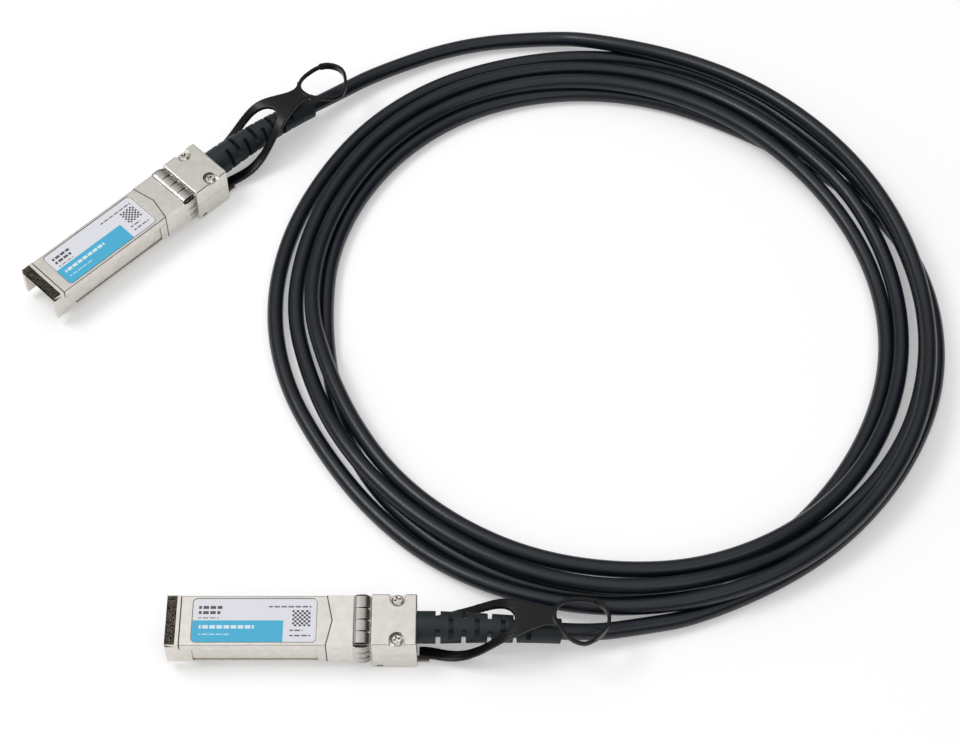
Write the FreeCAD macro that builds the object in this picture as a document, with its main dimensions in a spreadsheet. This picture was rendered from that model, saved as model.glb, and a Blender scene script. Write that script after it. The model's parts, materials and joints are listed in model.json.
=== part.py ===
"""Direct attach copper cable: two pluggable metal connectors on one coiled twinax cable.

Each plug is drawn in a frame of its own, in millimetres: x runs from the nose to the tail, y across,
z up from the surface that the plug's backshell lies on. The plugs, the coil and the two leads are
then placed in the row frame, with +Z up. Blocks that cut run 1 mm past the faces that they open.
"""
import FreeCAD, Part
import math
import os
import re
import Sketcher
from FreeCAD import Placement, Rotation, Vector

# ---------------------------------------------------------------- driving dimensions

SIZES = {
    # body
    "body_width": 13.5, "body_height": 8.5, "body_length": 49.2,
    "side_wall": 1.0, "floor_wall": 1.5, "roof_wall": 1.0, "edge_round": 0.4, "seam": 0.05, "play": 0.1,
    # nose lip and mouth
    "nose_length": 3.4, "nose_run": 2.5, "nose_drop": 1.0, "nose_seam": 0.12, "mouth_length": 10.4,
    "cavity_stop": 2.2,
    # cover skirts and side panels
    "skirt_depth": 2.6, "skirt_wall": 0.5, "panel_start": 6.25, "panel_margin": 2.25,
    "panel_rise": 0.9, "panel_depth": 0.3,
    # backshell, both halves
    "cap_length": 11.0, "cap_overhang": 0.3, "cap_rise": 0.6, "cap_drop": 2.5, "split_drop": 1.6,
    "rear_wall": 1.5, "side_slot_start": 1.2, "side_slot_long": 1.5, "side_slot_level": 0.5,
    "side_slot_high": 0.6, "side_slot_deep": 0.5,
    # label and its recess
    "label_margin": 0.95, "label_gap": 0.2, "label_thick": 0.1, "label_recess": 0.2, "label_round": 1.2,
    # spring collar
    "collar_length": 10.7, "collar_sheet": 0.2, "collar_vee": 1.4, "collar_gap": 0.3, "collar_hem": 1.35,
    "finger_start": 6.4, "finger_crest": 0.6, "finger_slot": 0.75, "finger_hem": 0.45,
    # cover screws
    "screw_setback": 6.3, "screw_inset": 1.55, "screw_head": 1.45, "screw_head_high": 0.85,
    "screw_shank": 0.75, "screw_tip": 1.5, "tapping_spare": 0.2, "screw_cross": 0.45,
    "pocket_wide": 3.8, "pocket_deep": 1.0,
    # paddle card
    "card_setback": 3.2, "card_end_gap": 5.2, "card_play": 0.3, "card_step": 1.0, "card_neck": 8.3,
    "card_bevel": 0.5, "card_taper": 0.6, "card_thick": 1.0, "card_level": 2.25, "hold_down": 0.6,
    "pad_pitch": 0.8, "pad_wide": 0.5, "pad_long": 2.6, "pad_inset": 0.4, "pad_thick": 0.05,
    "chip_size": 3.0, "chip_thick": 0.8, "chip_place": 18.0,
    # latch slide, its chamber and springs
    "slide_thick": 0.7, "slide_gap": 0.1, "slide_reach": 8.2, "prong_inner": 1.7, "prong_outer": 3.8,
    "prong_length": 5.5, "yoke_gap": 1.4, "leg_wide": 1.7, "leg_proud": 2.9, "leg_drop": 1.8, "leg_step": 1.0,
    "travel": 2.0, "travel_spare": 0.4,
    "boss_width": 2.6, "boss_length": 2.6, "boss_high": 0.45, "boss_setback": 4.2,
    "spring_radius": 0.66, "spring_wire": 0.14, "spring_margin": 0.9, "spring_level": 1.5,
    "spring_turns": 6.0, "spring_stop": 0.7, "lug_setback": 1.3, "lug_thick": 1.0,
    # cable, ferrule, conductors
    "cable_diameter": 4.2, "cable_rise": 0.65, "jacket_start": 3.3, "ferrule_radius": 2.7,
    "ferrule_length": 4.0, "ferrule_setback": 2.8, "ferrule_groove": 0.25, "groove_start": 1.6,
    "groove_wide": 0.8, "wire_radius": 0.35, "wire_spread": 1.3, "wire_lap": 2.4, "wire_room": 5.0,
    "fit_gap": 0.1,
    # strain relief boot
    "boot_length": 34.6, "boot_root": 3.95, "boot_tip": 3.05, "boot_neck": 2.9, "boot_flange": 3.6,
    "flange_thick": 1.6, "slot_count": 8.0, "slot_first": 5.0, "slot_pitch": 3.1, "slot_wide": 1.15,
    "slot_floor": 1.4, "slot_roll_a": 12.0, "slot_roll_b": -8.0,
    "bend_radius_a": 299.0, "bend_radius_b": 200.0, "bend_roll_a": 0.0, "bend_roll_b": 47.0,
    # pull tab
    "strap_thick": 1.0, "strap_clear": 0.95, "strap_start": 0.4, "tab_half": 6.95, "neck_half": 2.35,
    "tab_lean_a": 0.4, "tab_lean_b": -1.4, "ring_lap": 2.0, "ring_long": 13.87, "ring_half": 6.45,
    "ring_wall": 0.85, "ring_depth": 1.2, "pad_depth": 2.1,
    "ring_shift_a": -1.0, "ring_shift_b": -3.58,
    # coil, in the row frame
    "coil_middle": 81.0, "coil_band": 20.0, "coil_high": 11.0,
}

# where the two plugs' noses and the coil's centre lie, and which way the plugs point
PLUG_PLACES = {"a": (-30.6, -83.34, 0.0), "b": (-71.3, 15.86, 45.0)}
COIL_CENTRE = (77.7, 13.46)

document = FreeCAD.newDocument("twinax_cable")
sheet = document.addObject("Spreadsheet::Sheet", "Sizes")
for row, (alias, value) in enumerate(SIZES.items(), start=1):
    sheet.set("A%d" % row, alias)
    sheet.set("B%d" % row, str(value))
    sheet.setAlias("B%d" % row, alias)
document.recompute()
nodes = []


def size(text):
    """The number that an expression in the sheet's words gives."""
    values = {alias: sheet.get(alias) for alias in SIZES}
    probe = re.sub(r"[a-z_]+", lambda word: repr(float(values[word.group()])), text)
    return FreeCAD.Units.Quantity(probe).Value


def bound(text):
    """The same expression with its words pointed at the sheet."""
    return re.sub(r"[a-z_]+", lambda word: "Sizes." + word.group(), text)


def bind(item, **properties):
    for name, text in properties.items():
        item.setExpression(name.replace("__", "."), bound(text))
    return item


def move(item, x="0", y="0", z="0"):
    return bind(item, Placement__Base__x=x, Placement__Base__y=y, Placement__Base__z=z)


# words for the levels, stations and widths that several pieces share
UNDER = "cap_drop"
TOP = "(cap_drop + body_height)"
REAR = "(body_length + cap_length)"
CAP_TOP = "(cap_drop + body_height + cap_rise)"
CAP_WIDTH = "(body_width + cap_overhang)"
CABLE_LEVEL = "(cap_drop + body_height / 2 + cable_rise)"
CAP_SPLIT = "(cap_drop + body_height / 2 + cable_rise - split_drop)"
POCKET_FLOOR = "(cap_drop + body_height + cap_rise - pocket_deep)"
SCREW_X = "(body_length + screw_setback)"
SCREW_TIP = "(cap_drop + screw_tip)"
COLLAR_START = "(body_length - collar_length)"
PANEL_END = "(body_length - collar_length - panel_margin)"
LABEL_WIDTH = "(body_width - 2 * label_margin)"
CARD_UNDER = "(cap_drop + card_level)"
CARD_TOP = "(cap_drop + card_level + card_thick)"
CARD_END = "(body_length - card_end_gap)"
CARD_SHOULDER = "(body_width - 2 * side_wall - card_play)"
CARD_WIDTH = "(body_width - 2 * side_wall - card_play - 2 * card_step)"
SLOT_TOP = "(cap_drop + slide_thick + 1.5 * slide_gap)"
SLOT_LOW = "(cap_drop - 0.5 * slide_gap)"
SLIDE_START = "(body_length - slide_reach)"
SLIDE_LOW = "(cap_drop + 0.5 * slide_gap)"
PLATE_END = "(body_length + cap_length - rear_wall - travel - travel_spare)"
YOKE_WIDE = "(body_width + cap_overhang - yoke_gap)"
LEG_INNER = "((body_width + cap_overhang - yoke_gap) / 2 - leg_wide)"
LEG_OUTER = "((body_width + cap_overhang - yoke_gap) / 2)"
LEG_LOW = "(cap_drop + 0.5 * slide_gap - leg_drop)"
SPRING_SPREAD = "((body_width + cap_overhang - yoke_gap) / 2 - leg_wide - spring_margin)"
BOSS_END = "(body_length - boss_setback)"
STRAP_LEVEL = "(cap_drop + 0.5 * slide_gap - leg_drop + slide_thick + seam + strap_thick / 2)"
STRAP_TOP = "(cap_drop + body_height / 2 + cable_rise + boot_root + strap_clear)"
RING_START = "(body_length + cap_length + boot_length - ring_lap)"


# ---------------------------------------------------------------- small builders

def slab(name, x0, x1, y0, y1, z0, z1):
    """A box between six stated planes."""
    item = document.addObject("Part::Box", name)
    bind(item, Length="(%s) - (%s)" % (x1, x0), Width="(%s) - (%s)" % (y1, y0),
         Height="(%s) - (%s)" % (z1, z0))
    return move(item, x0, y0, z0)


def middle(name, x0, x1, width, z0, z1):
    """A box centred across the plug."""
    return slab(name, x0, x1, "-(%s) / 2" % width, "(%s) / 2" % width, z0, z1)


def across(side, inner, outer):
    """The two limits in y of what lies between two distances from the plug's axis, on one side."""
    return (inner, outer) if side == "left" else ("-(%s)" % outer, "-(%s)" % inner)


def upright(name, radius, x, y, z0, z1):
    item = document.addObject("Part::Cylinder", name)
    bind(item, Radius=radius, Height="(%s) - (%s)" % (z1, z0))
    return move(item, x, y, z0)


def along(name, radius, x0, x1, y, z):
    """A cylinder along the plug's axis."""
    item = document.addObject("Part::Cylinder", name)
    bind(item, Radius=radius, Height="(%s) - (%s)" % (x1, x0))
    item.Placement = Placement(Vector(), Rotation(Vector(0, 1, 0), 90))
    return move(item, x0, y, z)


def flat_wedge(name, x0, x1, half_width, z0, z1):
    """A triangle in plan, wide at x0 and pointed at x1."""
    item = document.addObject("Part::Wedge", name)
    bind(item, Xmin="-(%s)" % half_width, Xmax=half_width, X2min="0", X2max="0", Ymin="0",
         Ymax="(%s) - (%s)" % (x1, x0), Zmin="0", Zmax="(%s) - (%s)" % (z1, z0), Z2min="0",
         Z2max="(%s) - (%s)" % (z1, z0))
    item.Placement = Placement(Vector(), Rotation(Vector(0, 0, 1), -90))
    return move(item, x0, "0", z0)


def side_wedge(name, x, z, run, rise, width):
    """A right triangle in the side view, full height at x and nothing at x + run, centred across."""
    item = document.addObject("Part::Wedge", name)
    bind(item, Xmin="0", Xmax=run, X2min="0", X2max="0", Ymin="0", Ymax=rise, Zmin="0", Zmax=width,
         Z2min="0", Z2max=width)
    item.Placement = Placement(Vector(), Rotation(Vector(1, 0, 0), 90))
    return move(item, x, "(%s) / 2" % width, z)


def rounded(item, radius, chosen):
    """The item with its chosen edges rounded."""
    document.recompute()
    result = document.addObject("Part::Fillet", item.Name + "_rounded")
    result.Base = item
    amount = size(radius)
    result.Edges = [(number, amount, amount) for number, edge in enumerate(item.Shape.Edges, start=1)
                    if chosen(edge.BoundBox, item.Shape.BoundBox)]
    return result


def fuse(name, parts):
    item = document.addObject("Part::MultiFuse", name)
    item.Shapes = parts
    item.Refine = True
    return item


def cut(name, base, tools):
    item = document.addObject("Part::Cut", name)
    item.Base = base
    item.Tool = tools[0] if len(tools) == 1 else fuse(name + "_tools", tools)
    item.Refine = True
    return item


def own_shape(name, shape):
    item = document.addObject("Part::Feature", name)
    item.Shape = shape
    return item


def finish(item, label, place):
    """Name a finished sub-part and put it where it belongs in the row frame."""
    item.Label = label
    item.Placement = place
    nodes.append(item)


def plane_of(body, role):
    return next(plane for plane in body.Origin.OriginFeatures if plane.Role == role)


def sketch_on(body, role, name):
    sketch = body.newObject("Sketcher::SketchObject", name)
    sketch.AttachmentSupport = (plane_of(body, role), [""])
    sketch.MapMode = "FlatFace"
    return sketch


def closed_outline(sketch, corners):
    """A closed polygon whose corners are bound to the sheet, one distance each way."""
    points = [Vector(size(x), size(y), 0) for x, y in corners]
    for start, end in zip(points, points[1:] + points[:1]):
        sketch.addGeometry(Part.LineSegment(start, end), False)
    count = len(corners)
    for index in range(count):
        sketch.addConstraint(Sketcher.Constraint("Coincident", index, 2, (index + 1) % count, 1))
    for index, (x, y) in enumerate(corners):
        for kind, text, value in (("DistanceX", x, points[index].x), ("DistanceY", y, points[index].y)):
            number = sketch.addConstraint(Sketcher.Constraint(kind, -1, 1, index, 1, value))
            sketch.setExpression("Constraints[%d]" % number, bound(text))


def half_outline(pairs):
    """Corners of an outline that is symmetric about the plug's axis, from its +y half."""
    return pairs + [(x, "-(%s)" % y) for x, y in reversed(pairs)]


def pad(body, sketch, name, length):
    item = body.newObject("PartDesign::Pad", name)
    item.Profile = sketch
    item.setExpression("Length", bound(length))
    return item


# ---------------------------------------------------------------- die-cast shells

def long_edges(low):
    """Chooser for the edges along x at the bottom or at the top of a block."""
    def chosen(edge, block):
        level = block.ZMin if low else block.ZMax
        return edge.XLength > 0.9 * block.XLength and abs(edge.ZMax - level) < 1e-6
    return chosen


def cap_edges(low):
    """Chooser for a backshell half's outer rim and its four upright corners."""
    def chosen(edge, block):
        level = block.ZMin if low else block.ZMax
        upright_edge = edge.ZLength > 0.9 * block.ZLength
        return upright_edge or (edge.ZLength < 1e-6 and abs(edge.ZMax - level) < 1e-6)
    return chosen


def collar_seat(tag):
    """The shallow band round the body that the spring collar lies in."""
    depth = "(collar_sheet + 0.02)"
    outer = middle("seat_outer" + tag, COLLAR_START + " - 0.02", "body_length", "(body_width + 2)",
                   UNDER + " - 1", TOP + " + 1")
    inner = middle("seat_inner" + tag, COLLAR_START + " - 1", "body_length + 1",
                   "(body_width - 2 * %s)" % depth, "%s + %s" % (UNDER, depth), "%s - %s" % (TOP, depth))
    return cut("seat_band" + tag, outer, [inner])


def screw_places():
    spread = "(%s / 2 - screw_inset)" % CAP_WIDTH
    return (("left", spread), ("right", "-" + spread))


def cable_way(tag, start):
    """Room for the conductors, the ferrule and the boot's flange and neck, along the cable's axis."""
    wall_face = REAR + " - rear_wall"
    return [
        middle("wire_way" + tag, start, "body_length + jacket_start - 0.8", "wire_room",
               CARD_UNDER + " - 0.25", CABLE_LEVEL + " + wire_room / 2"),
        along("ferrule_way" + tag, "ferrule_radius + fit_gap", "body_length + 1.5", wall_face + " - 1", "0",
              CABLE_LEVEL),
        along("flange_way" + tag, "boot_flange + fit_gap", wall_face + " - flange_thick - 0.15", wall_face,
              "0", CABLE_LEVEL),
        along("neck_way" + tag, "boot_neck + fit_gap", wall_face + " - 0.5", REAR + " + 1", "0",
              CABLE_LEVEL),
    ]


def base_blank(tag):
    """The lower casting before it is hollowed: the body's hull and the lower half of the backshell."""
    hull = rounded(middle("hull" + tag, "0", "body_length", "body_width", UNDER, TOP), "edge_round",
                   long_edges(low=True))
    low_cap = rounded(middle("low_cap" + tag, "body_length", REAR, CAP_WIDTH, "0", CAP_SPLIT),
                      "edge_round", cap_edges(low=True))
    return fuse("base_blank" + tag, [hull, low_cap])


def cover_room(tag):
    """What the base gives up to the cover: its top face behind the nose, and the skirts' thickness."""
    lid_room = middle("lid_room" + tag, "nose_length", "body_length + 1", "(body_width + 1)",
                      TOP + " - roof_wall", TOP + " + 1")
    skirt_outer = middle("skirt_outer" + tag, "nose_length", "body_length + 1", "(body_width + 1)",
                         TOP + " - skirt_depth - seam", TOP)
    skirt_inner = middle("skirt_inner" + tag, "nose_length - 1", "body_length + 2",
                         "(body_width - 2 * skirt_wall)", UNDER, TOP + " + 1")
    return [lid_room, cut("skirt_room" + tag, skirt_outer, [skirt_inner])]


def slide_room(tag):
    """The recess and the chamber that the latch slide runs in, with the ways out for its legs."""
    clear = "(slide_gap + seam)"
    wall_face = REAR + " - rear_wall"
    tools = [
        middle("slide_recess" + tag, SLIDE_START + " - 1.5", "body_length + 0.1", "(%s - 2)" % YOKE_WIDE,
               UNDER + " - 1", SLOT_TOP),
        middle("slide_chamber" + tag, "body_length - 0.1", wall_face, "(%s + 4 * slide_gap)" % YOKE_WIDE,
               SLOT_LOW, SLOT_TOP),
    ]
    for side in ("left", "right"):
        legs = across(side, LEG_INNER + " - " + clear, LEG_OUTER + " + " + clear)
        tools += [
            slab("leg_drop_%s%s" % (side, tag), PLATE_END + " - leg_step - 0.2", wall_face, *legs,
                 LEG_LOW + " - slide_gap", SLOT_TOP),
            slab("leg_way_%s%s" % (side, tag), wall_face + " - 0.5", REAR + " + 1", *legs,
                 LEG_LOW + " - slide_gap", LEG_LOW + " + slide_thick + slide_gap"),
        ]
        room = "(spring_radius + spring_wire + 1.5 * slide_gap)"
        springs = across(side, "%s - %s" % (SPRING_SPREAD, room), "%s + %s" % (SPRING_SPREAD, room))
        tools.append(slab("spring_room_%s%s" % (side, tag), "body_length + lug_setback - 0.2",
                          wall_face + " - spring_stop", *springs, "spring_level - " + room, UNDER))
    return tools


def side_marks(tag):
    """The sunk panel on each flank of the body and the short slot low on each flank of the backshell."""
    tools = []
    for side in ("left", "right"):
        flank = across(side, "body_width / 2 - panel_depth", "body_width / 2 + 1")
        tools.append(slab("panel_%s%s" % (side, tag), "panel_start", PANEL_END, *flank,
                          UNDER + " + panel_rise", TOP + " - skirt_depth"))
        flank = across(side, CAP_WIDTH + " / 2 - side_slot_deep", CAP_WIDTH + " / 2 + 1")
        start = "body_length + side_slot_start"
        tools.append(slab("side_slot_%s%s" % (side, tag), start, start + " + side_slot_long", *flank,
                          "side_slot_level", "side_slot_level + side_slot_high"))
    return tools


def base_shell(tag, place):
    inside = "(body_width - 2 * side_wall)"
    tools = cover_room(tag) + slide_room(tag) + side_marks(tag) + cable_way("_low" + tag, "body_length - 3.2")
    tools += [
        side_wedge("nose_bevel" + tag, "-0.001", TOP + " + 0.001 - nose_drop", "nose_run", "nose_drop",
                   "(body_width + 2)"),
        middle("cavity" + tag, "-1", "body_length - cavity_stop", inside, UNDER + " + floor_wall",
               TOP + " - roof_wall"),
        middle("mouth" + tag, "-1", "mouth_length", inside, UNDER + " - 1", UNDER + " + floor_wall + 1"),
        collar_seat("_base" + tag),
    ]
    for side, place_y in screw_places():
        tools.append(upright("tapping_%s%s" % (side, tag), "screw_shank + 0.02", SCREW_X, place_y,
                             SCREW_TIP + " - tapping_spare", CAP_SPLIT + " + 1"))
    shell = cut("base_hollow" + tag, base_blank(tag), tools)
    ledges = [slab("ledge_%s%s" % (side, tag), "card_setback + card_neck + card_taper", CARD_END,
                   *across(side, CARD_WIDTH + " / 2 + play", inside + " / 2 + play"),
                   UNDER + " + floor_wall - 0.1", CARD_UNDER)
              for side in ("left", "right")]
    boss_start = BOSS_END + " - boss_length"
    boss = middle("boss" + tag, boss_start, BOSS_END, "boss_width", UNDER + " - boss_high",
                  SLOT_TOP + " + 0.1")
    ramp = side_wedge("boss_ramp" + tag, boss_start + " - 0.001", UNDER + " - boss_high - 0.001",
                      "boss_length - 0.6", "boss_high", "(boss_width + 1)")
    item = fuse("base_shell" + tag, [shell] + ledges + [cut("boss_shape" + tag, boss, [ramp])])
    finish(item, "base_shell" + tag, place)


def screw_pockets(tag):
    """Each screw's clearance hole and its pocket, open towards the near side of the backshell."""
    tools = []
    front, back = SCREW_X + " - pocket_wide / 2", SCREW_X + " + pocket_wide / 2"
    for side, place_y in screw_places():
        outward = CAP_WIDTH + " / 2 + 1" if side == "left" else "-(%s / 2 + 1)" % CAP_WIDTH
        ends = (place_y, outward) if side == "left" else (outward, place_y)
        tools += [
            upright("clearance_%s%s" % (side, tag), "screw_shank + play", SCREW_X, place_y,
                    CAP_SPLIT + " - 1", CAP_TOP),
            upright("pocket_%s%s" % (side, tag), "pocket_wide / 2", SCREW_X, place_y, POCKET_FLOOR,
                    CAP_TOP + " + 1"),
            slab("pocket_way_%s%s" % (side, tag), front, back, *ends, POCKET_FLOOR, CAP_TOP + " + 1"),
        ]
    return tools


def top_cover(tag, place):
    front = "nose_length + nose_seam"
    plate = rounded(middle("plate" + tag, front, "body_length", "body_width", TOP + " - roof_wall", TOP),
                    "edge_round", long_edges(low=False))
    skirts = cut("skirts" + tag,
                 middle("skirts_outer" + tag, front, "body_length", "body_width", TOP + " - skirt_depth",
                        TOP + " - roof_wall"),
                 [middle("skirts_inner" + tag, "0", "body_length + 1", "(body_width - 2 * skirt_wall + 0.04)",
                         UNDER, TOP)])
    high_cap = rounded(middle("high_cap" + tag, "body_length", REAR, CAP_WIDTH, CAP_SPLIT + " + seam",
                              CAP_TOP), "edge_round", cap_edges(low=False))
    rib = CARD_WIDTH + " / 2 + play"
    hold_downs = [slab("hold_down_%s%s" % (side, tag), "card_setback + card_neck + 2", CARD_END + " - 2",
                       *across(side, rib, rib + " + hold_down"), CARD_TOP, TOP + " - roof_wall")
                  for side in ("left", "right")]
    recess = rounded(middle("label_room" + tag, "panel_start", PANEL_END,
                            "(%s + 2 * label_gap)" % LABEL_WIDTH, TOP + " - label_recess", TOP + " + 1"),
                     "label_round", lambda edge, block: edge.ZLength > 0.9 * block.ZLength)
    tools = [recess, collar_seat("_cover" + tag)] + cable_way("_high" + tag, "body_length - 1")
    vee = flat_wedge("cover_vee" + tag, COLLAR_START + " - 0.1", COLLAR_START + " + collar_vee",
                     "(body_width / 2)", TOP + " - roof_wall", TOP)
    carved = cut("cover_carved" + tag, fuse("cover_blank" + tag, [plate, skirts, high_cap]),
                 tools + screw_pockets(tag))
    finish(fuse("top_cover" + tag, [carved, vee] + hold_downs), "top_cover" + tag, place)


def cover_screw(tag, side, place_y, place):
    """Pan head, plain shank and a cross recess, as one turned body."""
    body = document.addObject("PartDesign::Body", "screw_%s%s" % (side, tag))
    profile = sketch_on(body, "XZ_Plane", "screw_profile_%s%s" % (side, tag))
    tip = "%s - %s" % (SCREW_TIP, POCKET_FLOOR)
    closed_outline(profile, [("0", tip), ("screw_shank", tip), ("screw_shank", "0"),
                             ("screw_head", "0"), ("screw_head", "screw_head_high * 0.6"),
                             ("screw_head * 0.72", "screw_head_high"), ("0", "screw_head_high")])
    turned = body.newObject("PartDesign::Revolution", "screw_turned_%s%s" % (side, tag))
    turned.Profile = profile
    turned.ReferenceAxis = (profile, ["V_Axis"])
    turned.Angle = 360.0
    cross = sketch_on(body, "XY_Plane", "cross_%s%s" % (side, tag))
    cross.AttachmentOffset = Placement(Vector(0, 0, size("screw_head_high")), Rotation())
    cross.setExpression("AttachmentOffset.Base.z", bound("screw_head_high"))
    arm, half = "screw_head * 0.62", "screw_cross / 2"
    closed_outline(cross, [(arm, "-" + half), (arm, half), (half, half), (half, arm), ("-" + half, arm),
                           ("-" + half, half), ("-(%s)" % arm, half), ("-(%s)" % arm, "-" + half),
                           ("-" + half, "-" + half), ("-" + half, "-(%s)" % arm), (half, "-(%s)" % arm),
                           (half, "-" + half)])
    recess = body.newObject("PartDesign::Pocket", "recess_%s%s" % (side, tag))
    recess.Profile = cross
    recess.setExpression("Length", bound("screw_head_high * 0.65"))
    seat = Vector(size(SCREW_X), size(place_y), size(POCKET_FLOOR))
    finish(body, "cover_screw_%s%s" % (side, tag), place * Placement(seat, Rotation(Vector(0, 0, 1), 20)))


def label(tag, place):
    body = document.addObject("PartDesign::Body", "label" + tag)
    sketch = sketch_on(body, "XY_Plane", "label_outline" + tag)
    start, end, half = "panel_start + label_gap", PANEL_END + " - label_gap", LABEL_WIDTH + " / 2"
    closed_outline(sketch, [(start, "-" + half), (end, "-" + half), (end, half), (start, half)])
    sheet_pad = pad(body, sketch, "label_sheet" + tag, "label_thick")
    document.recompute()
    corners = body.newObject("PartDesign::Fillet", "label_corners" + tag)
    upright_edges = ["Edge%d" % number for number, edge in enumerate(sheet_pad.Shape.Edges, start=1)
                     if edge.BoundBox.ZLength > 0.9 * size("label_thick")]
    corners.Base = (sheet_pad, upright_edges)
    corners.setExpression("Radius", bound("label_round - label_gap"))
    level = Placement(Vector(0, 0, size(TOP + " - label_recess")), Rotation())
    finish(body, "label" + tag, place * level)


# ---------------------------------------------------------------- spring collar

def finger_profile(start, end):
    """Side view of one sprung finger: a thin strip that bows out and comes back in."""
    sheet_thick, crest = size("collar_sheet"), size("finger_crest")
    span = end - start
    heights = [(0.0, 0.0), (0.07, 0.45), (0.2, 0.92), (0.45, 1.0), (0.68, 0.95), (0.78, 0.8), (0.9, 0.35),
               (1.0, 0.0)]
    outer = [Vector(start + share * span, 0, height * crest) for share, height in heights]
    inner = [point - Vector(0, 0, sheet_thick) for point in outer]
    wire = Part.makePolygon(outer + inner[::-1] + outer[:1])
    return Part.Face(wire)


def finger_row(width, count, surface):
    """A row of fingers on a face whose outer surface is at height surface; slots widen to the rear."""
    start = size(COLLAR_START + " + finger_start")
    end = size("body_length - collar_gap")
    strip = finger_profile(start, end)
    strip.translate(Vector(0, -width / 2, surface))
    row = strip.extrude(Vector(0, width, 0))
    half_slot = size("finger_slot") / 2
    for index in range(1, count):
        line = width * (index / count - 0.5)
        tip = Vector(start + 0.3, line, surface - 1)
        wide_end = [Vector(end + 1, line + sign * half_slot, surface - 1) for sign in (1, -1)]
        slot = Part.Face(Part.makePolygon([tip] + wide_end + [tip]))
        row = row.cut(slot.extrude(Vector(0, 0, 3)))
    return row


def emi_collar(tag, place):
    start, vee = size(COLLAR_START), size("collar_vee")
    width, height = size("body_width"), size("body_height")
    thick, under, opening = size("collar_sheet"), size(UNDER), size("body_width - 2 * collar_hem")
    hems = 2 * size("finger_hem")
    band_end = start + size("finger_start") + 0.1
    outer = Part.makeBox(band_end - start, width, height, Vector(start, -width / 2, under))
    inner = Part.makeBox(band_end - start + 2, width - 2 * thick, height - 2 * thick,
                         Vector(start - 1, -width / 2 + thick, under + thick))
    level = under + height - 1
    corner = Vector(start - 0.1, -width / 2, level)
    notch = Part.Face(Part.makePolygon([corner, Vector(start + vee + 0.05, 0, level),
                                        Vector(start - 0.1, width / 2, level), corner]))
    below = Part.makeBox(band_end, opening, 1.5, Vector(start - 1, -opening / 2, under - 0.5))
    collar = outer.cut(inner).cut(notch.extrude(Vector(0, 0, 2))).cut(below)
    rows = [finger_row(width - hems, 4, under + height)]
    for turn in (90, -90):
        side = finger_row(height - hems, 3, width / 2)
        side.rotate(Vector(), Vector(1, 0, 0), turn)
        side.translate(Vector(0, 0, under + height / 2))
        rows.append(side)
    item = own_shape("emi_collar" + tag, collar.multiFuse(rows).removeSplitter())
    finish(item, "emi_collar" + tag, place)


# ---------------------------------------------------------------- circuit card

def paddle_card(tag, place):
    body = document.addObject("PartDesign::Body", "paddle_card" + tag)
    sketch = sketch_on(body, "XY_Plane", "card_outline" + tag)
    start, neck = "card_setback", "card_setback + card_neck"
    narrow, wide = CARD_WIDTH + " / 2", CARD_SHOULDER + " / 2"
    closed_outline(sketch, half_outline([(start, narrow + " - card_bevel"), (start + " + card_bevel", narrow),
                                         (neck, narrow), (neck + " + card_taper", wide), (CARD_END, wide)]))
    pad(body, sketch, "card_board" + tag, "card_thick")
    finish(body, "paddle_card" + tag, place * Placement(Vector(0, 0, size(CARD_UNDER)), Rotation()))


def card_contacts(tag, place):
    """Ten gold fingers on each face of the card's edge, as one group."""
    pitch, wide, long = size("pad_pitch"), size("pad_wide"), size("pad_long")
    thick, start = size("pad_thick"), size("card_setback + pad_inset")
    levels = (size(CARD_TOP), size(CARD_UNDER) - thick)
    pads = [Part.makeBox(long, wide, thick, Vector(start, (index - 4.5) * pitch - wide / 2, level))
            for level in levels for index in range(10)]
    finish(own_shape("card_contacts" + tag, Part.makeCompound(pads)), "card_contacts" + tag, place)


def memory_chip(tag, place):
    package = middle("chip_package" + tag, "0", "chip_size", "chip_size", "0", "chip_thick")
    dimple = upright("chip_dimple" + tag, "chip_size * 0.08", "chip_size * 0.2", "chip_size * 0.27",
                     "chip_thick - 0.05", "chip_thick + 1")
    spot = Vector(size("card_setback + chip_place"), 0, size(CARD_TOP))
    finish(cut("chip_marked" + tag, package, [dimple]), "memory_chip" + tag,
           place * Placement(spot, Rotation()))


def twinax_wires(tag, place):
    """Two pairs of insulated conductors from the stripped cable to both faces of the card."""
    start, radius = size("body_length + jacket_start - 0.05"), size("wire_radius")
    board_end, lap = size(CARD_END), size("wire_lap")
    level = size(CABLE_LEVEL)
    clear = radius + 0.02
    landing = {1: size(CARD_TOP) + clear, -1: size(CARD_UNDER) - clear}
    wires = []
    for face in (1, -1):
        for pair in (1, -1):
            y_out = pair * size("wire_spread")
            y_in, z_in = pair * (radius + 0.05), level + face * (radius + 0.05)
            z_out = landing[face]
            route = [Vector(start, y_in, z_in), Vector(start - 1.6, y_in, z_in),
                     Vector(board_end + 1.0, y_out, z_out), Vector(board_end - lap, y_out, z_out)]
            wires.append(tube(tangent_arcs(route)[0], radius))
    finish(own_shape("twinax_wires" + tag, Part.makeCompound(wires)), "twinax_wires" + tag, place)


# ---------------------------------------------------------------- tubes along routes

def tangent_arcs(route):
    """Straight runs joined by tangent arcs, each as large as its two runs allow; returns wire and radii."""
    edges, radii, start = [], [], route[0]
    for before, corner, after in zip(route, route[1:], route[2:]):
        incoming, outgoing = (corner - before), (after - corner)
        half_turn = incoming.getAngle(outgoing) / 2
        trim = 0.45 * min(incoming.Length, outgoing.Length)
        radii.append(trim / math.tan(half_turn))
        incoming.normalize()
        outgoing.normalize()
        entry, leave = corner - incoming * trim, corner + outgoing * trim
        bow = (outgoing - incoming)
        bow.normalize()
        crown = corner + bow * (radii[-1] / math.cos(half_turn) - radii[-1])
        edges += [Part.LineSegment(start, entry).toShape(), Part.Arc(entry, crown, leave).toShape()]
        start = leave
    edges.append(Part.LineSegment(start, route[-1]).toShape())
    return Part.Wire(edges), radii


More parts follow.
